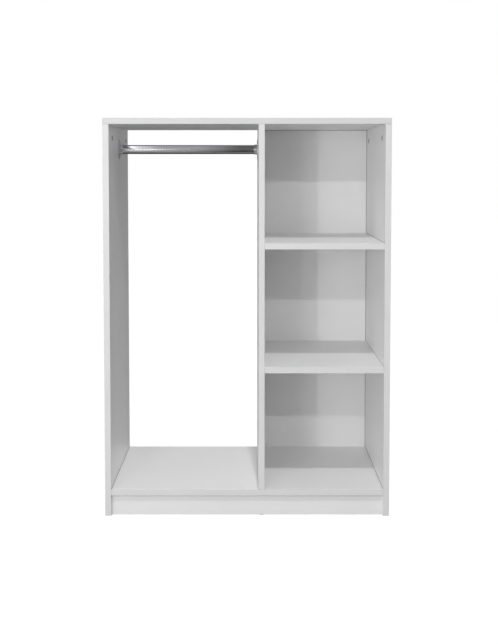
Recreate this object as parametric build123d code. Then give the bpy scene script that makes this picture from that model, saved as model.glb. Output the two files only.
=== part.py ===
from build123d import *
import os

# An open wardrobe of white faced chipboard, with a hanging bay on the left and a shelf bay on
# the right. Everything is in millimetres. Seen from the front, +X runs to the right, +Y to the
# rear and +Z up. The origin is the middle of the footprint, on the floor.

# ---- Driving dimensions: the carcass
WIDTH = 750.0            # over the two side panels
DEPTH = 400.0            # front edge bands to the rear of the back sheet
HEIGHT = 1050.0          # floor to the upper face of the top panel
BOARD = 16.0             # thickness of every board
BAND = 1.0               # thickness of the edge bands
BAND_ROUND = 0.8         # rounding of the bands' outer edges
BAND_GAP = 0.3           # a band stops this far short of the board that its own board meets
BACK_SHEET = 3.0         # thickness of the hardboard back
BACK_INSET = 1.0         # the back sheet stops this far inside the outer faces
DIVIDER_LEFT = 30.0      # X of the divider's left face
PLINTH_TOP = 56.0        # underside of the bottom panel
PLINTH_SETBACK = 10.0    # the plinth stands this far behind the front edges
SHELF_COUNT = 2          # fixed shelves, evenly spaced

# ---- Driving dimensions: the hanging rail
RAIL_RADIUS = 12.5
RAIL_WALL = 1.2
RAIL_DROP = 62.0         # rail axis below the top panel
RAIL_Y = 0.0
RAIL_SEAT_GAP = 0.1      # radial clearance of the rail in its sockets
SOCKET_PLATE = 2.5       # thickness of the socket's flange
SOCKET_HEIGHT = 54.0
SOCKET_WIDTH = 31.0
SOCKET_REACH = 11.0      # panel face to the rim of the socket's ring
SOCKET_RING_WALL = 1.2
SOCKET_FLANGE_ROUND = 0.8
SOCKET_RIM_ROUND = 0.5
SOCKET_SCREW_OFFSET = 20.5
SOCKET_SCREW_LENGTH = 14.0
SOCKET_SCREW_HEAD = 2.0          # depth of the countersunk head
SOCKET_SCREW_HEAD_RADIUS = 3.5
SOCKET_SCREW_RADIUS = 1.6
SOCKET_SCREW_TIP = 3.0           # length of the tapered tip
SOCKET_SCREW_TIP_RADIUS = 0.4
SOCKET_SCREW_CROSS = (3.6, 0.8, 1.2)     # span, slot and depth of its cross recess

# ---- Driving dimensions: the fittings
RUNNING_GAP = 0.05       # radial clearance round every pin, screw and cam
CAM_RADIUS = 7.45
CAM_LENGTH = 12.8
CAM_SEAT = 13.2          # depth of the bore that holds the cam
CAM_HOLLOW_RADIUS = 5.2
CAM_HOLLOW_HALF = 3.55   # half the height of the hollow that takes the bolt's head
CAM_ECCENTRIC = 0.9      # the hollow's centre lies this far off the cam's axis
CAM_MOUTH_RADIUS = 3.35  # the opening that lets the bolt's head in
CAM_SLOT_HALF = 2.4      # half the height of the slot round the cam for the bolt's neck
CAM_SLOT_BACK = 2.7      # the slot starts this far behind the cam's axis
CAM_EDGE_CHAMFER = 0.3
CAM_RECESS = (7.0, 1.5, 2.4)     # span, slot and depth of the cross recess
CAM_ARROW_HALF = 1.3     # half the width of the arrow that points at the bolt's hole
CAM_ARROW_FOOT = 4.6     # the arrow's foot and tip lie this far from the cam's axis
CAM_ARROW_TIP = 6.6
CAM_ARROW_DEPTH = 0.4
CAM_DROP = 34.0          # cam axis below the top panel
CAM_ROWS = {"front": -132.0, "rear": 153.0}
BOLT_HEAD_RADIUS = 3.2
BOLT_HEAD_START = 0.9    # places along the bolt, from the cam's axis
BOLT_NECK_START = 2.5
BOLT_HOLE_START = 6.0
BOLT_SHAFT_START = 8.6
BOLT_NECK_RADIUS = 2.0
BOLT_SHAFT_RADIUS = 3.4
BOLT_THREAD_RADIUS = 3.0
BOLT_THREAD_LENGTH = 11.0
DOWEL_RADIUS = 4.0
DOWEL_CHAMFER = 0.8
DOWEL_IN_FACE = 10.0     # length of a dowel inside the board whose face it enters
DOWEL_IN_EDGE = 20.0     # length of a dowel inside the board whose edge it enters
DOWEL_ROWS = [-100.0, 110.0]
SCREW_ROWS = [-150.0, 150.0]
SCREW_LENGTH = 50.0
SCREW_HEAD = 3.0         # depth of the countersunk head
SCREW_HEAD_RADIUS = 5.0
SCREW_SHANK_RADIUS = 3.5
SCREW_THREAD_RADIUS = 3.0
SCREW_TIP = 4.0          # length of the tapered tip
SCREW_TIP_RADIUS = 1.2
SCREW_HEXAGON = 4.0      # across the flats of the socket
SCREW_HEXAGON_DEPTH = 3.0
CAP_RADIUS = 6.2
CAP_HEIGHT = 0.8
CAP_ROUND = 0.5
CAP_STEM_RADIUS = 1.8
CAP_STEM_LENGTH = 2.4
NAIL_HEAD_RADIUS = 2.0
NAIL_HEAD = 0.6
NAIL_RADIUS = 0.7
BACK_NAIL_LENGTH = 18.0
BACK_NAIL_SPACES_UP = 9
BACK_NAIL_SPACES_ACROSS = 3
GLIDE_RADIUS = 7.0
GLIDE_HEIGHT = 2.0
GLIDE_ROUND = 0.6
GLIDE_NAIL_GAP = 0.3     # radial clearance of the nail's head in the glide's recess
GLIDE_NAIL_LENGTH = 13.0
GLIDE_ROWS = [-170.0, 165.0]

# ---- Planes that follow from them
OUTER = WIDTH / 2
INNER = OUTER - BOARD
FRONT = -DEPTH / 2
CORE_FRONT = FRONT + BAND
CORE_REAR = DEPTH / 2 - BACK_SHEET
DIVIDER_RIGHT = DIVIDER_LEFT + BOARD
DIVIDER_MIDDLE = DIVIDER_LEFT + BOARD / 2
SIDE_MIDDLE = OUTER - BOARD / 2
BOTTOM_TOP = PLINTH_TOP + BOARD
BOTTOM_MIDDLE = PLINTH_TOP + BOARD / 2
TOP_UNDER = HEIGHT - BOARD
TOP_MIDDLE = HEIGHT - BOARD / 2
SHELF_SPACE = (TOP_UNDER - BOTTOM_TOP - SHELF_COUNT * BOARD) / (SHELF_COUNT + 1)
SHELF_UNDERS = [BOTTOM_TOP + SHELF_SPACE + i * (SHELF_SPACE + BOARD) for i in range(SHELF_COUNT)]
SHELF_NAMES = ["shelf_lower", "shelf_upper"]
PLINTH_MIDDLE = (GLIDE_HEIGHT + PLINTH_TOP) / 2
PLINTH_FRONT = FRONT + PLINTH_SETBACK
PLINTH_FRONT_MIDDLE = PLINTH_FRONT + BOARD / 2
PLINTH_REAR_MIDDLE = CORE_REAR - BOARD / 2
RAIL_Z = TOP_UNDER - RAIL_DROP
CAM_Z = TOP_UNDER - CAM_DROP

RIGHT = (1, 0, 0)
LEFT = (-1, 0, 0)
UP = (0, 0, 1)
DOWN = (0, 0, -1)
TO_FRONT = (0, -1, 0)

MIN_CORNER = (Align.MIN, Align.MIN, Align.MIN)
ON_END = (Align.CENTER, Align.CENTER, Align.MIN)


# ---- Shapes drawn along +Z from the origin
def block(low, high):
    """A rectangular solid between two corners."""
    size = [b - a for a, b in zip(low, high)]
    return Pos(*low) * Box(*size, align=MIN_CORNER)


def rod(radius, start, end):
    """A cylinder on the Z axis from start to end."""
    return Pos(0, 0, start) * Cylinder(radius, end - start, align=ON_END)


def taper(start_radius, end_radius, start, end):
    """A cone frustum on the Z axis from start to end."""
    return Pos(0, 0, start) * Cone(start_radius, end_radius, end - start, align=ON_END)


def cross_recess(span, slot, depth):
    """The recess of a cross-head, cut from Z = 0 into +Z."""
    bar = Box(span, slot, depth, align=ON_END)
    return bar + Rot(0, 0, 90) * bar


def placed(shape, point, direction):
    """Moves a shape so that it starts at a point and runs along a direction."""
    return Plane(origin=point, z_dir=direction).location * shape


def wall_plane(x, y, z, side):
    """A plane on an upright board's face: its Z leaves the face and its Y is up."""
    return Plane(origin=(x, y, z), x_dir=(0, side, 0), z_dir=(side, 0, 0)).location


# ---- Fittings; gap widens a fitting into the hole that takes it
def carcass_screw(gap=0.0):
    """A countersunk connecting screw, from its head's face along +Z."""
    tip_start = SCREW_LENGTH - SCREW_TIP
    head = taper(SCREW_HEAD_RADIUS + gap, SCREW_SHANK_RADIUS + gap, 0, SCREW_HEAD)
    shank = rod(SCREW_SHANK_RADIUS + gap, SCREW_HEAD, BOARD)
    thread = rod(SCREW_THREAD_RADIUS + gap, BOARD, tip_start)
    tip = taper(SCREW_THREAD_RADIUS + gap, SCREW_TIP_RADIUS + gap, tip_start, SCREW_LENGTH + gap)
    return head + shank + thread + tip


def carcass_screw_with_socket():
    """The connecting screw with its hexagon socket."""
    hexagon = RegularPolygon(SCREW_HEXAGON / 2, side_count=6, major_radius=False)
    return carcass_screw() - extrude(hexagon, SCREW_HEXAGON_DEPTH)


def screw_cap():
    """A round cap over a connecting screw, its stem in the hexagon socket."""
    disc = rod(CAP_RADIUS, -CAP_HEIGHT, 0)
    disc = fillet(disc.edges().sort_by(Axis.Z)[0], CAP_ROUND)
    return disc + rod(CAP_STEM_RADIUS, 0, CAP_STEM_LENGTH)


def dowel(gap=0.0):
    """A wooden dowel whose Z = 0 is the joint and whose +Z half enters an edge."""
    body = rod(DOWEL_RADIUS + gap, -DOWEL_IN_FACE - gap, DOWEL_IN_EDGE + gap)
    if gap == 0:
        body = chamfer(body.edges().filter_by(GeomType.CIRCLE), DOWEL_CHAMFER)
    return body


def cam_bolt(gap=0.0):
    """A cam bolt, from the cam's axis at Z = 0 up into the top panel."""
    thread_end = CAM_DROP + BOLT_THREAD_LENGTH + gap
    thread = rod(BOLT_THREAD_RADIUS + gap, CAM_DROP, thread_end)
    if gap:
        return rod(BOLT_SHAFT_RADIUS + gap, BOLT_HOLE_START, CAM_DROP) + thread
    head = rod(BOLT_HEAD_RADIUS, BOLT_HEAD_START, BOLT_NECK_START)
    neck = rod(BOLT_NECK_RADIUS, BOLT_NECK_START, BOLT_SHAFT_START)
    shaft = rod(BOLT_SHAFT_RADIUS, BOLT_SHAFT_START, CAM_DROP)
    return head + neck + shaft + thread


def cam_lock():
    """A cam lock, face at Z = 0 and body into -Z, with its bolt coming from +Y when locked.

    The eccentric hollow is tight behind the bolt's head when locked. Half a turn later it is
    wide and its mouth faces the bolt. The neck passes through the slot all the way round.
    """
    middle = -BOARD / 2
    past = CAM_RADIUS + BAND
    body = rod(CAM_RADIUS, -CAM_LENGTH, 0)
    body = chamfer(body.edges().group_by(Axis.Z)[-1], CAM_EDGE_CHAMFER)
    hollow = rod(CAM_HOLLOW_RADIUS, middle - CAM_HOLLOW_HALF, middle + CAM_HOLLOW_HALF)
    hollow = Pos(0, -CAM_ECCENTRIC, 0) * hollow
    slot_low = (-CAM_SLOT_BACK, -past, middle - CAM_SLOT_HALF)
    slot = block(slot_low, (past, past, middle + CAM_SLOT_HALF))
    mouth = placed(rod(CAM_MOUTH_RADIUS, 0, past), (0, 0, middle), TO_FRONT)
    recess = Pos(0, 0, -CAM_RECESS[2]) * cross_recess(*CAM_RECESS)
    foot = [(-CAM_ARROW_HALF, -CAM_ARROW_FOOT), (CAM_ARROW_HALF, -CAM_ARROW_FOOT)]
    arrow = extrude(Polygon(*foot, (0, -CAM_ARROW_TIP), align=None), -CAM_ARROW_DEPTH)
    return body - hollow - slot - mouth - recess - arrow


def socket_screw(gap=0.0):
    """A small countersunk wood screw, from its head's face along +Z."""
    radius = SOCKET_SCREW_RADIUS + gap
    tip_start = SOCKET_SCREW_LENGTH - SOCKET_SCREW_TIP
    screw = taper(SOCKET_SCREW_HEAD_RADIUS + gap, radius, 0, SOCKET_SCREW_HEAD)
    screw += rod(radius, SOCKET_SCREW_HEAD, tip_start)
    screw += taper(radius, SOCKET_SCREW_TIP_RADIUS, tip_start, SOCKET_SCREW_LENGTH + gap)
    if gap == 0:
        screw -= cross_recess(*SOCKET_SCREW_CROSS)
    return screw


def rail_socket():
    """A hanging rail's end socket, back at Z = 0: an upright oval flange and a round ring."""
    outline = SlotOverall(SOCKET_HEIGHT, SOCKET_WIDTH, rotation=90)
    flange = extrude(outline, SOCKET_PLATE)
    flange = fillet(flange.edges().group_by(Axis.Z)[-1], SOCKET_FLANGE_ROUND)
    seat_radius = RAIL_RADIUS + RAIL_SEAT_GAP
    ring = rod(seat_radius + SOCKET_RING_WALL, 0, SOCKET_REACH)
    ring = fillet(ring.edges().sort_by(Axis.Z)[-1], SOCKET_RIM_ROUND)
    return flange + ring - rod(seat_radius, SOCKET_PLATE, SOCKET_REACH)


def nail(length, gap=0.0):
    """A round nail, from its head's face along +Z."""
    head = rod(NAIL_HEAD_RADIUS + gap, 0, NAIL_HEAD + gap)
    return head + rod(NAIL_RADIUS + gap, NAIL_HEAD, length + gap)


def glide():
    """A round plastic glide that stands on the floor, with a recess for its nail's head."""
    disc = rod(GLIDE_RADIUS, 0, GLIDE_HEIGHT)
    disc = fillet(disc.edges().sort_by(Axis.Z)[0], GLIDE_ROUND)
    return disc - rod(NAIL_HEAD_RADIUS + GLIDE_NAIL_GAP, 0, GLIDE_HEIGHT / 2)


# ---- Where the fittings go: lists of (point, direction)
screw_places = []
capped_places = []
dowel_places = []

for y in SCREW_ROWS:
    screw_places.append(((DIVIDER_MIDDLE, y, PLINTH_TOP), UP))
    capped_places.append(((-OUTER, y, BOTTOM_MIDDLE), RIGHT))
    capped_places.append(((OUTER, y, BOTTOM_MIDDLE), LEFT))
    for under in SHELF_UNDERS:
        capped_places.append(((OUTER, y, under + BOARD / 2), LEFT))
        capped_places.append(((DIVIDER_LEFT, y, under + BOARD / 2), RIGHT))
for y in [PLINTH_FRONT_MIDDLE, PLINTH_REAR_MIDDLE]:
    capped_places.append(((-OUTER, y, PLINTH_MIDDLE), RIGHT))
    capped_places.append(((OUTER, y, PLINTH_MIDDLE), LEFT))
screw_places += capped_places

for y in DOWEL_ROWS:
    for x in [-SIDE_MIDDLE, DIVIDER_MIDDLE, SIDE_MIDDLE]:
        dowel_places.append(((x, y, TOP_UNDER), DOWN))
    dowel_places.append(((DIVIDER_MIDDLE, y, BOTTOM_TOP), UP))
    dowel_places.append(((-INNER, y, BOTTOM_MIDDLE), RIGHT))
    dowel_places.append(((INNER, y, BOTTOM_MIDDLE), LEFT))
    for under in SHELF_UNDERS:
        dowel_places.append(((DIVIDER_RIGHT, y, under + BOARD / 2), RIGHT))
        dowel_places.append(((INNER, y, under + BOARD / 2), LEFT))

# Each cam sits in the face of an upright board: face X, and the side that the face looks to.
CAM_FACES = {"left": (-INNER, 1), "divider": (DIVIDER_RIGHT, 1), "right": (INNER, -1)}
cam_places = {}
bolt_places = []
for board_name, (face, side) in CAM_FACES.items():
    for row_name, y in CAM_ROWS.items():
        cam_places[f"cam_{board_name}_{row_name}"] = wall_plane(face, y, CAM_Z, side)
        bolt_places.append(((face - side * BOARD / 2, y, CAM_Z), UP))

SOCKET_FACES = {"left": (-INNER, 1), "right": (DIVIDER_LEFT, -1)}
socket_screw_places = []
for face, side in SOCKET_FACES.values():
    for offset in [-SOCKET_SCREW_OFFSET, SOCKET_SCREW_OFFSET]:
        point = (face + side * SOCKET_PLATE, RAIL_Y, RAIL_Z + offset)
        socket_screw_places.append((point, (-side, 0, 0)))

back_nail_places = []
across = SIDE_MIDDLE - DIVIDER_MIDDLE
upward = TOP_MIDDLE - BOTTOM_MIDDLE
nailed_levels = [BOTTOM_MIDDLE, *[u + BOARD / 2 for u in SHELF_UNDERS], TOP_MIDDLE]
for i in range(BACK_NAIL_SPACES_UP + 1):
    level = BOTTOM_MIDDLE + upward * i / BACK_NAIL_SPACES_UP
    for x in [DIVIDER_MIDDLE, SIDE_MIDDLE]:
        back_nail_places.append(((x, DEPTH / 2, level), TO_FRONT))
for level in nailed_levels:
    for i in range(1, BACK_NAIL_SPACES_ACROSS):
        x = DIVIDER_MIDDLE + across * i / BACK_NAIL_SPACES_ACROSS
        back_nail_places.append(((x, DEPTH / 2, level), TO_FRONT))

glide_points = [(x, y, 0) for x in [-SIDE_MIDDLE, SIDE_MIDDLE] for y in GLIDE_ROWS]
glide_points += [(DIVIDER_MIDDLE, y, 0) for y in [PLINTH_FRONT_MIDDLE, PLINTH_REAR_MIDDLE]]
GLIDE_NAIL_START = GLIDE_HEIGHT / 2 - NAIL_HEAD


# ---- The holes that the fittings need
def all_at(shape, places):
    """Copies of one shape at a list of places."""
    return [placed(shape, point, direction) for point, direction in places]


holes = all_at(carcass_screw(RUNNING_GAP), screw_places)
holes += all_at(dowel(RUNNING_GAP), dowel_places)
holes += all_at(cam_bolt(RUNNING_GAP), bolt_places)
holes += all_at(socket_screw(RUNNING_GAP), socket_screw_places)
holes += all_at(nail(BACK_NAIL_LENGTH, RUNNING_GAP), back_nail_places)
glide_nail_hole = Pos(0, 0, GLIDE_NAIL_START) * nail(GLIDE_NAIL_LENGTH, RUNNING_GAP)
holes += all_at(glide_nail_hole, [(point, UP) for point in glide_points])
cam_seat = rod(CAM_RADIUS + RUNNING_GAP, -CAM_SEAT, 0)
holes += [place * cam_seat for place in cam_places.values()]


def boxes_meet(a, b):
    """True where two bounding boxes share some space."""
    pairs = [(a.min.X, a.max.X, b.min.X, b.max.X), (a.min.Y, a.max.Y, b.min.Y, b.max.Y)]
    pairs.append((a.min.Z, a.max.Z, b.min.Z, b.max.Z))
    return all(a_low < b_high and b_low < a_high for a_low, a_high, b_low, b_high in pairs)


hole_boxes = [(hole, hole.bounding_box()) for hole in holes]


def drilled(solid):
    """A board or fitting with every hole that reaches it."""
    box = solid.bounding_box()
    tools = [hole for hole, hole_box in hole_boxes if boxes_meet(box, hole_box)]
    return solid - tools if tools else solid


def front_band(x_low, x_high, z_low, z_high):
    """An edge band on a board's front edge, with its outer edges rounded."""
    band = block((x_low, FRONT, z_low), (x_high, CORE_FRONT, z_high))
    return fillet(band.faces().sort_by(Axis.Y)[0].edges(), BAND_ROUND)


def end_band(side):
    """An edge band on one end of the top panel, with its long outer edges rounded."""
    x_low = min(side * OUTER, side * (OUTER - BAND))
    band = block((x_low, CORE_FRONT, TOP_UNDER), (x_low + BAND, CORE_REAR, HEIGHT))
    outer_face = band.faces().sort_by(Axis.X)[-1 if side > 0 else 0]
    return fillet(outer_face.edges().filter_by(Axis.Y), BAND_ROUND)


nodes = {}

# ---- Boards with a front band: X and Z limits of each. An upright board's band stops short of
# the boards above and below it, and a level board's band of the boards at its two ends.
UPRIGHT = {
    "side_left": (-OUTER, -INNER, GLIDE_HEIGHT, TOP_UNDER),
    "side_right": (INNER, OUTER, GLIDE_HEIGHT, TOP_UNDER),
    "divider": (DIVIDER_LEFT, DIVIDER_RIGHT, BOTTOM_TOP, TOP_UNDER),
}
LEVEL = {"bottom_panel": (-INNER, INNER, PLINTH_TOP, BOTTOM_TOP)}
for name, under in zip(SHELF_NAMES, SHELF_UNDERS):
    LEVEL[name] = (DIVIDER_RIGHT, INNER, under, under + BOARD)
for name, (x_low, x_high, z_low, z_high) in (UPRIGHT | LEVEL).items():
    core = block((x_low, CORE_FRONT, z_low), (x_high, CORE_REAR, z_high))
    nodes[name] = drilled(core)
    x_gap = BAND_GAP if name in LEVEL else 0
    z_gap = BAND_GAP if name in UPRIGHT else 0
    band = front_band(x_low + x_gap, x_high - x_gap, z_low + z_gap, z_high - z_gap)
    nodes["band_" + name] = band

top_core = block((-OUTER + BAND, CORE_FRONT, TOP_UNDER), (OUTER - BAND, CORE_REAR, HEIGHT))
nodes["top_panel"] = drilled(top_core)
top_bands = [front_band(-OUTER, OUTER, TOP_UNDER, HEIGHT), end_band(-1), end_band(1)]
nodes["band_top_panel"] = Compound(children=top_bands)

# ---- Plinths and back
PLINTHS = {"plinth_front": PLINTH_FRONT_MIDDLE, "plinth_rear": PLINTH_REAR_MIDDLE}
for name, middle in PLINTHS.items():
    low = (-INNER, middle - BOARD / 2, GLIDE_HEIGHT)
    high = (INNER, middle + BOARD / 2, PLINTH_TOP)
    nodes[name] = drilled(block(low, high))
back_low = (DIVIDER_LEFT + BACK_INSET, CORE_REAR, PLINTH_TOP + BACK_INSET)
back_high = (OUTER - BACK_INSET, DEPTH / 2, HEIGHT - BACK_INSET)
nodes["back_panel"] = drilled(block(back_low, back_high))

# ---- Hanging rail and its sockets
rail_start = -INNER + SOCKET_PLATE
rail_length = DIVIDER_LEFT - SOCKET_PLATE - rail_start
rail = rod(RAIL_RADIUS, 0, rail_length) - rod(RAIL_RADIUS - RAIL_WALL, 0, rail_length)
nodes["hanging_rail"] = placed(rail, (rail_start, RAIL_Y, RAIL_Z), RIGHT)
for name, (face, side) in SOCKET_FACES.items():
    socket = wall_plane(face, RAIL_Y, RAIL_Z, side) * rail_socket()
    nodes["rail_socket_" + name] = drilled(socket)

# ---- Cam locks, each a moving piece
for name, place in cam_places.items():
    nodes[name] = place * cam_lock()

# ---- Fixed fittings, one node for each kind
FITTINGS = {
    "cam_bolts": all_at(cam_bolt(), bolt_places),
    "dowels": all_at(dowel(), dowel_places),
    "carcass_screws": all_at(carcass_screw_with_socket(), screw_places),
    "screw_caps": all_at(screw_cap(), capped_places),
    "rail_socket_screws": all_at(socket_screw(), socket_screw_places),
    "back_nails": all_at(nail(BACK_NAIL_LENGTH), back_nail_places),
    "floor_glides": [drilled(Pos(*point) * glide()) for point in glide_points],
    "glide_nails": [
        Pos(0, 0, GLIDE_NAIL_START) * Pos(*point) * nail(GLIDE_NAIL_LENGTH)
        for point in glide_points
    ],
}
for name, solids in FITTINGS.items():
    nodes[name] = Compound(children=solids)

os.makedirs("parts", exist_ok=True)
for name, shape in nodes.items():
    export_step(shape, f"parts/{name}.step")
print(len(nodes), "nodes")
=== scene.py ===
"""Looks of the open wardrobe: melamine boards, chrome hanging rail, fittings, camera and light."""
import math

import bpy
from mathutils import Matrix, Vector


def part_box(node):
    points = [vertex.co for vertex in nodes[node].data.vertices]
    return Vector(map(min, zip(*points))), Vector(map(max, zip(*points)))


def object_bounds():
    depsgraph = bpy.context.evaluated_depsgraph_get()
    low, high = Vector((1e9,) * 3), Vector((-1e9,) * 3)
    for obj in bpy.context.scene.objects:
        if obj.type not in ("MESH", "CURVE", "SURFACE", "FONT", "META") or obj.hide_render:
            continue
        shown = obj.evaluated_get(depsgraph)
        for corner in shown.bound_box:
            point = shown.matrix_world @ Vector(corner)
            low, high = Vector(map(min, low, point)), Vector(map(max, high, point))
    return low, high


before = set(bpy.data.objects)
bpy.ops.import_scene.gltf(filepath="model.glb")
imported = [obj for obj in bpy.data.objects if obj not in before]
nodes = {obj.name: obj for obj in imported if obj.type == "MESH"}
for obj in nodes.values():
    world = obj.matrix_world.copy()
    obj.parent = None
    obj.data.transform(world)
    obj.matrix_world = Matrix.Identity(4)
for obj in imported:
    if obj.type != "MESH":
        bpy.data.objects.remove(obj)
cad_low, cad_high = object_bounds()

# ---- Driving values, in metres and degrees
MILLIMETRE = 0.001
FRONT_PLANE = cad_low.y
CAMERA_DISTANCE = 2.5027      # camera to the plane of the front edges
CAMERA_HEIGHT = 0.9178
CAMERA_SIDE = 0.0049
CAMERA_PITCH = 2.972          # degrees below the horizon
CAMERA_LENS = 53.844
CAMERA_SHIFT = -0.16
SENSOR_WIDTH = 36.0           # millimetres

BOARD_TONE = 0.875            # how white each kind of board and edge band is; the cross and top band tones are darker copies of the same melamine and band that paint shade
CROSS_SHADE_TONE = 0.79
BAND_TONE = 0.695
TOP_BAND_SHADE_TONE = 0.645
FLOOR_LINE = 2.6 * MILLIMETRE  # widths of the dark lines along the joints of the boards, real joint lines widened into painted crease shade
SHELF_LINE = 1.2 * MILLIMETRE
BACK_LINE = 1.4 * MILLIMETRE
# The dark colour of those lines, which paints crease shade as well as the joint.
JOINT_SHADE_COLOUR = (0.2, 0.2, 0.2, 1.0)
GLUE_START = 0.88 * MILLIMETRE  # the glue line's edges, behind the front plane
GLUE_END = 1.02 * MILLIMETRE
GLUE_COLOUR = (0.42, 0.40, 0.36, 1.0)
BARE_HARDBOARD = 2.9 * MILLIMETRE  # from the rear face; the lacquer is in front of it
SCREEN_PITCH = 1.6 * MILLIMETRE    # pressed pattern on the hardboard's rear
# Dark base colours painted on the chrome's underside and top, standing in for dark reflections.
CHROME_UNDERSIDE_SHADE = (0.11, 0.11, 0.13, 1.0)
CHROME_TOP_SHADE = (0.16, 0.155, 0.15, 1.0)


# ---- Small helpers for node materials
class Shader:
    """A node material being built, with short calls for the nodes used here."""

    def __init__(self, name):
        self.material = bpy.data.materials.new(name)
        self.material.use_nodes = True
        self.tree = self.material.node_tree
        self.surface = self.tree.nodes["Principled BSDF"]
        self.point = self.new("ShaderNodeTexCoord").outputs["Object"]

    def new(self, kind, **settings):
        node = self.tree.nodes.new(kind)
        for key, value in settings.items():
            setattr(node, key, value)
        return node

    def link(self, source, target):
        self.tree.links.new(source, target)

    def feed(self, target, value):
        """Links a socket, or sets a plain value."""
        if isinstance(value, bpy.types.NodeSocket):
            self.link(value, target)
        else:
            target.default_value = value

    def math(self, operation, a, b=0.0):
        node = self.new("ShaderNodeMath", operation=operation)
        self.feed(node.inputs[0], a)
        self.feed(node.inputs[1], b)
        return node.outputs[0]

    def split(self, vector):
        """The X, Y and Z of a vector."""
        node = self.new("ShaderNodeSeparateXYZ")
        self.link(vector, node.inputs[0])
        return node.outputs

    def stretched(self, scale):
        """The object's own coordinates, times a scale for each axis."""
        node = self.new("ShaderNodeMapping")
        self.link(self.point, node.inputs["Vector"])
        node.inputs["Scale"].default_value = scale
        return node.outputs[0]

    def noise(self, scale, detail=2.0, roughness=0.5, vector=None):
        node = self.new("ShaderNodeTexNoise")
        self.link(vector or self.point, node.inputs["Vector"])
        node.inputs["Scale"].default_value = scale
        node.inputs["Detail"].default_value = detail
        node.inputs["Roughness"].default_value = roughness
        return node.outputs["Fac"]

    def cells(self, scale, vector=None, output="Color"):
        node = self.new("ShaderNodeTexVoronoi")
        self.link(vector or self.point, node.inputs["Vector"])
        node.inputs["Scale"].default_value = scale
        return node.outputs[output]

    def ramp(self, factor, stops):
        """A colour ramp from (position, (r, g, b)) stops."""
        node = self.new("ShaderNodeValToRGB")
        self.link(factor, node.inputs[0])
        elements = node.color_ramp.elements
        while len(elements) < len(stops):
            elements.new(0.5)
        for element, (position, colour) in zip(elements, stops):
            element.position = position
            element.color = (*colour, 1.0)
        return node.outputs[0]

    def range(self, value, low, high):
        """Maps 0 to 1 onto low to high."""
        node = self.new("ShaderNodeMapRange")
        self.link(value, node.inputs["Value"])
        node.inputs["To Min"].default_value = low
        node.inputs["To Max"].default_value = high
        return node.outputs[0]

    def between(self, value, start, end):
        """Maps start to end onto 0 to 1."""
        node = self.new("ShaderNodeMapRange")
        self.link(value, node.inputs["Value"])
        node.inputs["From Min"].default_value = start
        node.inputs["From Max"].default_value = end
        return node.outputs[0]

    def mix(self, factor, a, b):
        """Mixes two colours."""
        node = self.new("ShaderNodeMix", data_type="RGBA")
        self.feed(node.inputs["Factor"], factor)
        self.feed(node.inputs["A"], a)
        self.feed(node.inputs["B"], b)
        return node.outputs["Result"]

    def mix_value(self, factor, a, b):
        """Mixes two plain values."""
        node = self.new("ShaderNodeMix", data_type="FLOAT")
        self.feed(node.inputs["Factor"], factor)
        self.feed(node.inputs["A"], a)
        self.feed(node.inputs["B"], b)
        return node.outputs["Result"]

    def bump(self, height, distance, strength):
        node = self.new("ShaderNodeBump")
        self.link(height, node.inputs["Height"])
        node.inputs["Distance"].default_value = distance
        node.inputs["Strength"].default_value = strength
        return node.outputs[0]

    def finish(self, colour, roughness, normal, metallic=0.0):
        ports = self.surface.inputs
        self.link(colour, ports["Base Color"])
        self.feed(ports["Roughness"], roughness)
        self.link(normal, ports["Normal"])
        ports["Metallic"].default_value = metallic
        return self.material


def facing(shader, axis):
    """1 on surfaces that face either way along an axis (0, 1 or 2), 0 elsewhere."""
    normal = shader.new("ShaderNodeTexCoord").outputs["Normal"]
    size = shader.math("ABSOLUTE", shader.split(normal)[axis])
    return shader.math("GREATER_THAN", size, 0.7)


# ---- Materials
def melamine(shader, tone):
    """Colour, roughness and height of a white melamine face; tone is how white it is."""
    cloud = shader.noise(7.0, 3.0)
    light, dark = tone + 0.01, tone - 0.01
    colour = shader.ramp(cloud, [(0.3, (dark, dark, dark)), (0.7, (light, light, light))])
    grain = shader.noise(1100.0, 2.0)
    pores = shader.cells(520.0, output="Distance")
    height = shader.math("ADD", grain, shader.math("MULTIPLY", pores, 0.6))
    roughness = shader.range(shader.noise(60.0, 2.0), 0.40, 0.50)
    return colour, roughness, height


def chipboard(shader, thin_axis):
    """Colour and height of a raw chipboard edge; the chips lie flat across the board."""
    scale = [1.0, 1.0, 1.0]
    scale[thin_axis] = 2.6
    flat = shader.stretched(scale)
    chips = shader.cells(420.0, vector=flat)
    tone = shader.new("ShaderNodeSeparateColor")
    shader.link(chips, tone.inputs[0])
    wood = [
        (0.0, (0.30, 0.20, 0.11)),
        (0.35, (0.50, 0.36, 0.21)),
        (0.7, (0.64, 0.49, 0.31)),
        (1.0, (0.76, 0.63, 0.44)),
    ]
    colour = shader.ramp(tone.outputs[0], wood)
    dust = shader.noise(1500.0, 3.0, vector=flat)
    colour = shader.mix(shader.range(dust, 0.0, 0.35), colour, (0.33, 0.23, 0.14, 1.0))
    gaps = shader.cells(420.0, vector=flat, output="Distance")
    height = shader.math("SUBTRACT", dust, gaps)
    return colour, height


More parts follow.
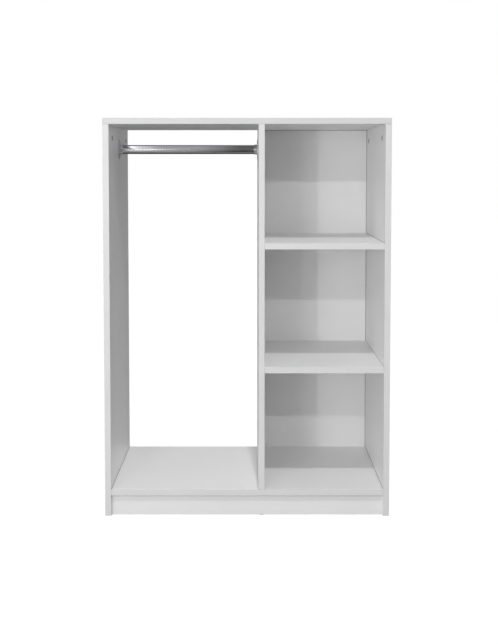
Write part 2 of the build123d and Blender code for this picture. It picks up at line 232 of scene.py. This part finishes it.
def joint_shade_lines(shader):
    """1 in a narrow strip of the inner faces just above each board that butts on them: a dark
    joint line widened into painted crease shade.
    """
    place = shader.split(shader.point)

    def strip(board, width):
        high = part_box(board)[1].z
        above = shader.math("GREATER_THAN", place["Z"], high)
        below = shader.math("LESS_THAN", place["Z"], high + width)
        return shader.math("MULTIPLY", above, below)

    divider_low, divider_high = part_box("divider")
    divider_middle = (divider_low.x + divider_high.x) / 2
    in_shelf_bay = shader.math("GREATER_THAN", place["X"], divider_middle)
    total = strip("bottom_panel", FLOOR_LINE)
    for shelf in ["shelf_lower", "shelf_upper"]:
        line = shader.math("MULTIPLY", strip(shelf, SHELF_LINE), in_shelf_bay)
        total = shader.math("ADD", total, line)
    inner_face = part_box("bottom_panel")[1].x
    across = shader.math("ABSOLUTE", place["X"])
    inner = shader.math("LESS_THAN", across, inner_face + MILLIMETRE)
    return shader.math("MULTIPLY", total, inner)


def board_material(name, thin_axis, tone=BOARD_TONE, lines=False):
    """White facing on the two faces across thin_axis, raw chipboard on the edges and in holes."""
    shader = Shader(name)
    face = facing(shader, thin_axis)
    white, gloss, face_height = melamine(shader, tone)
    # The joint lines are dark joints widened into painted crease shade on the inner faces.
    if lines:
        white = shader.mix(joint_shade_lines(shader), white, JOINT_SHADE_COLOUR)
    raw, raw_height = chipboard(shader, thin_axis)
    colour = shader.mix(face, raw, white)
    roughness = shader.mix_value(face, 0.85, gloss)
    height = shader.mix_value(face, shader.math("MULTIPLY", raw_height, 8.0), face_height)
    normal = shader.bump(height, 0.00003, 0.5)
    return shader.finish(colour, roughness, normal)


def band_material(tone=BAND_TONE):
    """Satin white edge band, with the thin dark glue line where it meets the board."""
    shader = Shader("edge_band_satin")
    place = shader.split(shader.point)
    behind = shader.math("GREATER_THAN", place["Y"], FRONT_PLANE + GLUE_START)
    on_front = shader.math("LESS_THAN", place["Y"], FRONT_PLANE + GLUE_END)
    glue = shader.math("MULTIPLY", behind, on_front)
    light, dark = tone + 0.01, tone - 0.01
    cloud = shader.noise(9.0, 2.0)
    white = shader.ramp(cloud, [(0.3, (dark, dark, dark)), (0.7, (light, light, light))])
    colour = shader.mix(glue, white, GLUE_COLOUR)
    peel = shader.noise(700.0, 1.0)
    roughness = shader.range(shader.noise(80.0, 2.0), 0.32, 0.42)
    return shader.finish(colour, roughness, shader.bump(peel, 0.00002, 0.5))


def hardboard_material():
    """White lacquer in front, with dark joint lines along its side and top edges widened into
    painted crease shade; bare brown fibre with a pressed screen pattern behind.
    """
    shader = Shader("hardboard_two_sides")
    place = shader.split(shader.point)
    rear = shader.math("GREATER_THAN", place["Y"], cad_high.y - BARE_HARDBOARD)
    tone = shader.noise(8.0, 3.0)
    white = shader.ramp(tone, [(0.3, (0.84, 0.84, 0.84)), (0.7, (0.86, 0.86, 0.86))])
    side_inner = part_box("bottom_panel")[1].x
    top_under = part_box("top_panel")[0].z
    # Painted crease shade: dark strips where the back panel meets the side and the top.
    at_side = shader.math("GREATER_THAN", place["X"], side_inner - BACK_LINE)
    at_top = shader.math("GREATER_THAN", place["Z"], top_under - BACK_LINE)
    white = shader.mix(shader.math("MAXIMUM", at_side, at_top), white, JOINT_SHADE_COLOUR)
    fibre = shader.noise(260.0, 6.0, 0.65)
    blotch = shader.noise(14.0, 3.0)
    brown = shader.ramp(fibre, [(0.25, (0.19, 0.11, 0.055)), (0.75, (0.36, 0.23, 0.125))])
    light = shader.ramp(blotch, [(0.3, (0.25, 0.15, 0.08)), (0.7, (0.40, 0.27, 0.155))])
    brown = shader.mix(0.45, brown, light)
    turns = 2 * math.pi / SCREEN_PITCH
    across = shader.math("SINE", shader.math("MULTIPLY", place["X"], turns))
    along = shader.math("SINE", shader.math("MULTIPLY", place["Z"], turns))
    screen = shader.math("MULTIPLY", across, along)
    rear_height = shader.math("ADD", shader.math("MULTIPLY", screen, 0.8), fibre)
    front_height = shader.math("MULTIPLY", shader.noise(500.0, 3.0), 0.25)
    height = shader.mix_value(rear, front_height, rear_height)
    colour = shader.mix(rear, white, brown)
    roughness = shader.mix_value(rear, 0.45, 0.78)
    return shader.finish(colour, roughness, shader.bump(height, 0.00012, 0.6))


def metal_material(name, dark, light, rough, grain, depth):
    """A metal with a fine grain that varies its colour, its gloss and its surface."""
    shader = Shader(name)
    fine = shader.noise(grain, 3.0)
    cloud = shader.noise(40.0, 2.0)
    colour = shader.mix(shader.math("MULTIPLY", fine, cloud), (*dark, 1.0), (*light, 1.0))
    roughness = shader.range(fine, *rough)
    normal = shader.bump(fine, depth, 0.4)
    return shader.finish(colour, roughness, normal, metallic=1.0)


def chrome_material():
    """Chrome with faint drawing lines along the tube, with painted dark reflections along its top
    and its underside.
    """
    shader = Shader("chrome_plate")
    lines = shader.noise(400.0, 3.0, vector=shader.stretched((0.05, 1.0, 1.0)))
    cloud = shader.noise(40.0, 2.0)
    bright = shader.mix(shader.math("MULTIPLY", lines, cloud), (0.72, 0.72, 0.74, 1.0),
                        (0.86, 0.86, 0.88, 1.0))
    upward = shader.split(shader.new("ShaderNodeTexCoord").outputs["Normal"])["Z"]
    # Painted shade: darker where the tube faces down and where it faces up, standing in for dark
    # reflections.
    colour = shader.mix(shader.between(upward, -0.55, -0.75), bright, CHROME_UNDERSIDE_SHADE)
    colour = shader.mix(shader.between(upward, 0.80, 0.90), colour, CHROME_TOP_SHADE)
    roughness = shader.range(lines, 0.14, 0.17)
    return shader.finish(colour, roughness, shader.bump(lines, 0.000001, 0.4), metallic=1.0)


def plastic_material(name, dark, light, rough):
    """A moulded plastic with a faint spark-eroded texture."""
    shader = Shader(name)
    colour = shader.ramp(shader.noise(35.0, 2.0), [(0.3, dark), (0.7, light)])
    spark = shader.noise(1600.0, 2.0)
    roughness = shader.range(spark, *rough)
    return shader.finish(colour, roughness, shader.bump(spark, 0.00002, 0.5))


def beech_material():
    """Plain beech with fine rays along the dowel."""
    shader = Shader("beech_dowel")
    rays = shader.noise(900.0, 3.0, vector=shader.stretched((1.0, 1.0, 0.2)))
    colour = shader.ramp(rays, [(0.3, (0.55, 0.40, 0.24)), (0.7, (0.74, 0.58, 0.38))])
    return shader.finish(colour, 0.7, shader.bump(rays, 0.00005, 0.5))


def give(material, *names):
    """Puts a material on CAD nodes in place of what they came with."""
    for name in names:
        slots = nodes[name].data.materials
        slots.clear()
        slots.append(material)


upright = board_material("board_upright", 0, lines=True)
level = board_material("board_level", 2)
# The plinth boards are the same melamine, darker as painted shade.
cross = board_material("board_cross_shaded", 1, tone=CROSS_SHADE_TONE)
give(upright, "side_left", "side_right", "divider")
give(level, "top_panel", "bottom_panel", "shelf_lower", "shelf_upper")
give(cross, "plinth_front", "plinth_rear")
give(band_material(), *[name for name in nodes if name.startswith("band_")])
# The top panel's band is the same band, darker as painted shade.
give(band_material(tone=TOP_BAND_SHADE_TONE), "band_top_panel")
give(hardboard_material(), "back_panel")
chrome = chrome_material()
satin_chrome = metal_material("chrome_satin", (0.66, 0.66, 0.68), (0.84, 0.84, 0.86),
                              (0.36, 0.46), 900.0, 0.00001)
zinc = metal_material("zinc_cast", (0.10, 0.10, 0.105), (0.34, 0.34, 0.35), (0.38, 0.55),
                      1400.0, 0.00004)
plated = metal_material("zinc_plated", (0.48, 0.47, 0.42), (0.74, 0.73, 0.68), (0.22, 0.36),
                        1200.0, 0.00002)
white_plastic = plastic_material("cap_plastic", (0.80, 0.80, 0.79), (0.84, 0.84, 0.83),
                                 (0.34, 0.44))
grey_plastic = plastic_material("glide_plastic", (0.62, 0.62, 0.60), (0.68, 0.68, 0.66),
                                (0.45, 0.6))
give(chrome, "hanging_rail")
give(satin_chrome, "rail_socket_left", "rail_socket_right")
give(zinc, *[name for name in nodes if name.startswith("cam_") and name != "cam_bolts"])
give(plated, "cam_bolts", "carcass_screws", "rail_socket_screws", "back_nails", "glide_nails")
give(white_plastic, "screw_caps")
give(grey_plastic, "floor_glides")
give(beech_material(), "dowels")


# ---- Camera
def make_camera():
    data = bpy.data.cameras.new("camera")
    data.lens = CAMERA_LENS
    data.sensor_width = SENSOR_WIDTH
    data.shift_y = CAMERA_SHIFT
    camera = bpy.data.objects.new("camera", data)
    bpy.context.scene.collection.objects.link(camera)
    camera.location = (CAMERA_SIDE, FRONT_PLANE - CAMERA_DISTANCE, CAMERA_HEIGHT)
    camera.rotation_euler = (math.radians(90.0 - CAMERA_PITCH), 0.0, 0.0)
    bpy.context.scene.camera = camera


# ---- Light and floor
def aim(thing, target):
    """Turns a light so that it shines at a point."""
    towards = Vector(target) - thing.location
    thing.rotation_euler = towards.to_track_quat("-Z", "Y").to_euler()


# Each light: its place, the point it shines at, its power in watts, its width and height.
LIGHTS = {
    "key_high": ((0.1, -4.38, 2.66), (0.0, 0.0, 0.5), 27.6, 0.1, 0.1),
    "key_left": ((-1.68, -4.3, 1.0), (0.0, 0.0, 0.5), 20.0, 0.1, 0.1),
    "key_mid": ((-1.16, -4.3, 1.0), (0.0, 0.0, 0.5), 6.5, 0.16, 0.16),
    "key_top": ((0.2, -2.76, 4.7), (0.0, 0.0, 0.5), 66.0, 0.15, 0.15),
    "soft_low": ((-0.3, -3.4, 0.35), (0.0, -0.2, 0.3), 5.5, 2.4, 0.6),
    "soft_left": ((-1.5, -3.8, 1.0), (0.0, -0.2, 0.5), 21.0, 1.0, 1.0),
    "soft_side": ((-2.6, -2.6, 0.7), (0.0, -0.2, 0.4), 12.2, 1.2, 1.0),
    "soft_rear": ((-0.25, 2.6, 1.5), (-0.2, 0.0, 0.1), 3.8, 1.0, 1.0),
}
# These only fill, and would show as pale patches in the chrome.
HIDDEN_IN_GLOSS = ["soft_low", "soft_left", "soft_side"]
SURROUND = 0.47               # strength of the dim surround
DARK_ROOM = 0.05              # strength of the surround in reflections
GROUND_GREY = 0.3             # how much light the ground throws back
FLOOR_HALF = 14.0
FLOOR_TONE = 0.05             # the pale floor is nearly all glow, so no shadow falls on it
FLOOR_GLOW = 0.99
FLOOR_DROP = 0.2 * MILLIMETRE  # the pale floor below the glides, and the grey one below it

# The glowing card that only reflections see, which paints the chrome's highlight: how bright it is
# from its left end to its right end.
CARD_LEFT = -0.80
CARD_RIGHT = 0.0
CARD_DISTANCE = 2.8           # the card's far edge, in front of the front edges
CARD_GAP = 0.1                # its near edge
CARD_HALF = 4.0
CARD_TOP = 2.4
CARD_LEVEL = 0.5 * MILLIMETRE  # above the ground
CARD_STRENGTH = 4.0           # above the brightest tone
CARD_TONES = [(0.0, 0.15), (0.15, 0.15), (0.18, 3.4), (0.24, 1.2), (0.37, 0.36), (0.66, 0.36),
              (0.92, 0.03)]
# The same for the small glowing card over the rail, which paints the upper part of the rail's
# highlight, from the rail's left end to its right end.
RAIL_CARD_REACH = 0.17        # forward from the rail's middle
RAIL_CARD_DROP = 2 * MILLIMETRE  # below the top panel
RAIL_TONES = [(0.0, 0.1), (0.04, 0.1), (0.07, 1.5), (0.12, 0.9), (0.27, 0.46), (0.58, 0.40),
              (0.88, 0.12)]


def make_light(name, place, target, power, width, height):
    data = bpy.data.lights.new(name, "AREA")
    data.shape = "RECTANGLE"
    data.size = width
    data.size_y = height
    data.energy = power
    light = bpy.data.objects.new(name, data)
    bpy.context.scene.collection.objects.link(light)
    light.location = place
    light.visible_glossy = name not in HIDDEN_IN_GLOSS
    aim(light, target)


def make_world():
    """A dim soft surround that lights the room, and a plain white ground behind the object."""
    world = bpy.data.worlds.new("surround")
    bpy.context.scene.world = world
    world.use_nodes = True
    tree = world.node_tree
    tree.nodes.clear()
    output = tree.nodes.new("ShaderNodeOutputWorld")
    path = tree.nodes.new("ShaderNodeLightPath")
    shader = None
    for ray, strength in [(None, SURROUND), ("Is Glossy Ray", DARK_ROOM), ("Is Camera Ray", 1.0)]:
        ground = tree.nodes.new("ShaderNodeBackground")
        ground.inputs["Color"].default_value = (1.0, 1.0, 1.0, 1.0)
        ground.inputs["Strength"].default_value = strength
        if ray is None:
            shader = ground.outputs[0]
            continue
        pick = tree.nodes.new("ShaderNodeMixShader")
        tree.links.new(path.outputs[ray], pick.inputs["Fac"])
        tree.links.new(shader, pick.inputs[1])
        tree.links.new(ground.outputs[0], pick.inputs[2])
        shader = pick.outputs[0]
    tree.links.new(shader, output.inputs["Surface"])


def make_plane(name, half, height, colour, glow):
    """A level square of the stage, not part of the object."""
    mesh = bpy.data.meshes.new(name)
    corners = [(-half, -half, 0), (half, -half, 0), (half, half, 0), (-half, half, 0)]
    mesh.from_pydata(corners, [], [(0, 1, 2, 3)])
    plane = bpy.data.objects.new(name, mesh)
    bpy.context.scene.collection.objects.link(plane)
    plane.location.z = height
    material = bpy.data.materials.new(name)
    material.use_nodes = True
    surface = material.node_tree.nodes["Principled BSDF"]
    surface.inputs["Base Color"].default_value = (colour, colour, colour, 1.0)
    surface.inputs["Roughness"].default_value = 0.9
    surface.inputs["Specular IOR Level"].default_value = 0.0
    surface.inputs["Emission Color"].default_value = (1.0, 1.0, 1.0, 1.0)
    surface.inputs["Emission Strength"].default_value = glow
    mesh.materials.append(material)
    return plane


def card_material(name, tones):
    """A glow along X by tones, on the card's front side only, that paints a reflection."""
    shader = Shader(name)
    across = shader.between(shader.split(shader.point)["X"], CARD_LEFT, CARD_RIGHT)
    stops = [(stop, (tone / CARD_STRENGTH,) * 3) for stop, tone in tones]
    glow = shader.ramp(across, stops)
    ports = shader.surface.inputs
    ports["Base Color"].default_value = (0.0, 0.0, 0.0, 1.0)
    ports["Roughness"].default_value = 1.0
    ports["Emission Strength"].default_value = CARD_STRENGTH
    shader.link(glow, ports["Emission Color"])
    clear = shader.new("ShaderNodeBsdfTransparent")
    pick = shader.new("ShaderNodeMixShader")
    shader.link(shader.new("ShaderNodeNewGeometry").outputs["Backfacing"], pick.inputs["Fac"])
    shader.link(shader.surface.outputs[0], pick.inputs[1])
    shader.link(clear.outputs[0], pick.inputs[2])
    shader.link(pick.outputs[0], shader.tree.nodes["Material Output"].inputs["Surface"])
    return shader.material


def make_card(name, corners, faces, tones):
    """A glowing card that only reflections see, and only from its front side: a painted reflection
    that lights no diffuse surface.
    """
    mesh = bpy.data.meshes.new(name)
    mesh.from_pydata(corners, [], faces)
    mesh.materials.append(card_material(name, tones))
    card = bpy.data.objects.new(name, mesh)
    bpy.context.scene.collection.objects.link(card)
    card.visible_camera = False
    card.visible_diffuse = False
    card.visible_shadow = False
    return card


def make_cards():
    """One card stands on the ground in front; a small one hangs over the rail. Both glow only in
    reflections and paint the chrome's highlight.
    """
    near = FRONT_PLANE - CARD_GAP
    far = FRONT_PLANE - CARD_DISTANCE
    corners = [(-CARD_HALF, near, CARD_LEVEL), (CARD_HALF, near, CARD_LEVEL)]
    corners += [(CARD_HALF, far, CARD_LEVEL), (-CARD_HALF, far, CARD_LEVEL)]
    corners += [(CARD_HALF, far, CARD_TOP), (-CARD_HALF, far, CARD_TOP)]
    make_card("painted_reflection_front", corners, [(3, 2, 1, 0), (5, 4, 2, 3)], CARD_TONES)
    rail_low, rail_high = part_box("hanging_rail")
    middle = (rail_low.y + rail_high.y) / 2
    front = middle - RAIL_CARD_REACH
    corners = [(CARD_LEFT, middle, 0), (CARD_RIGHT, middle, 0)]
    corners += [(CARD_RIGHT, front, 0), (CARD_LEFT, front, 0)]
    card = make_card("painted_reflection_rail", corners, [(0, 1, 2, 3)], RAIL_TONES)
    card.scale.x = (rail_high.x - rail_low.x) / (CARD_RIGHT - CARD_LEFT)
    card.location.x = rail_high.x - CARD_RIGHT * card.scale.x
    card.location.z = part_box("top_panel")[0].z - RAIL_CARD_DROP


def make_floor():
    """A pale floor for the camera, over a grey one that throws light back at the object."""
    level = cad_low.z - FLOOR_DROP
    pale = make_plane("floor_pale", FLOOR_HALF, level, FLOOR_TONE, FLOOR_GLOW)
    pale.visible_diffuse = False
    pale.visible_glossy = False
    pale.visible_shadow = False
    grey = make_plane("floor_grey", FLOOR_HALF, level - FLOOR_DROP, GROUND_GREY, 0.0)
    grey.visible_camera = False
    grey.visible_glossy = False


make_camera()
make_world()
make_floor()
make_cards()
for light_name, settings in LIGHTS.items():
    make_light(light_name, *settings)
bpy.context.scene.view_settings.view_transform = "Standard"
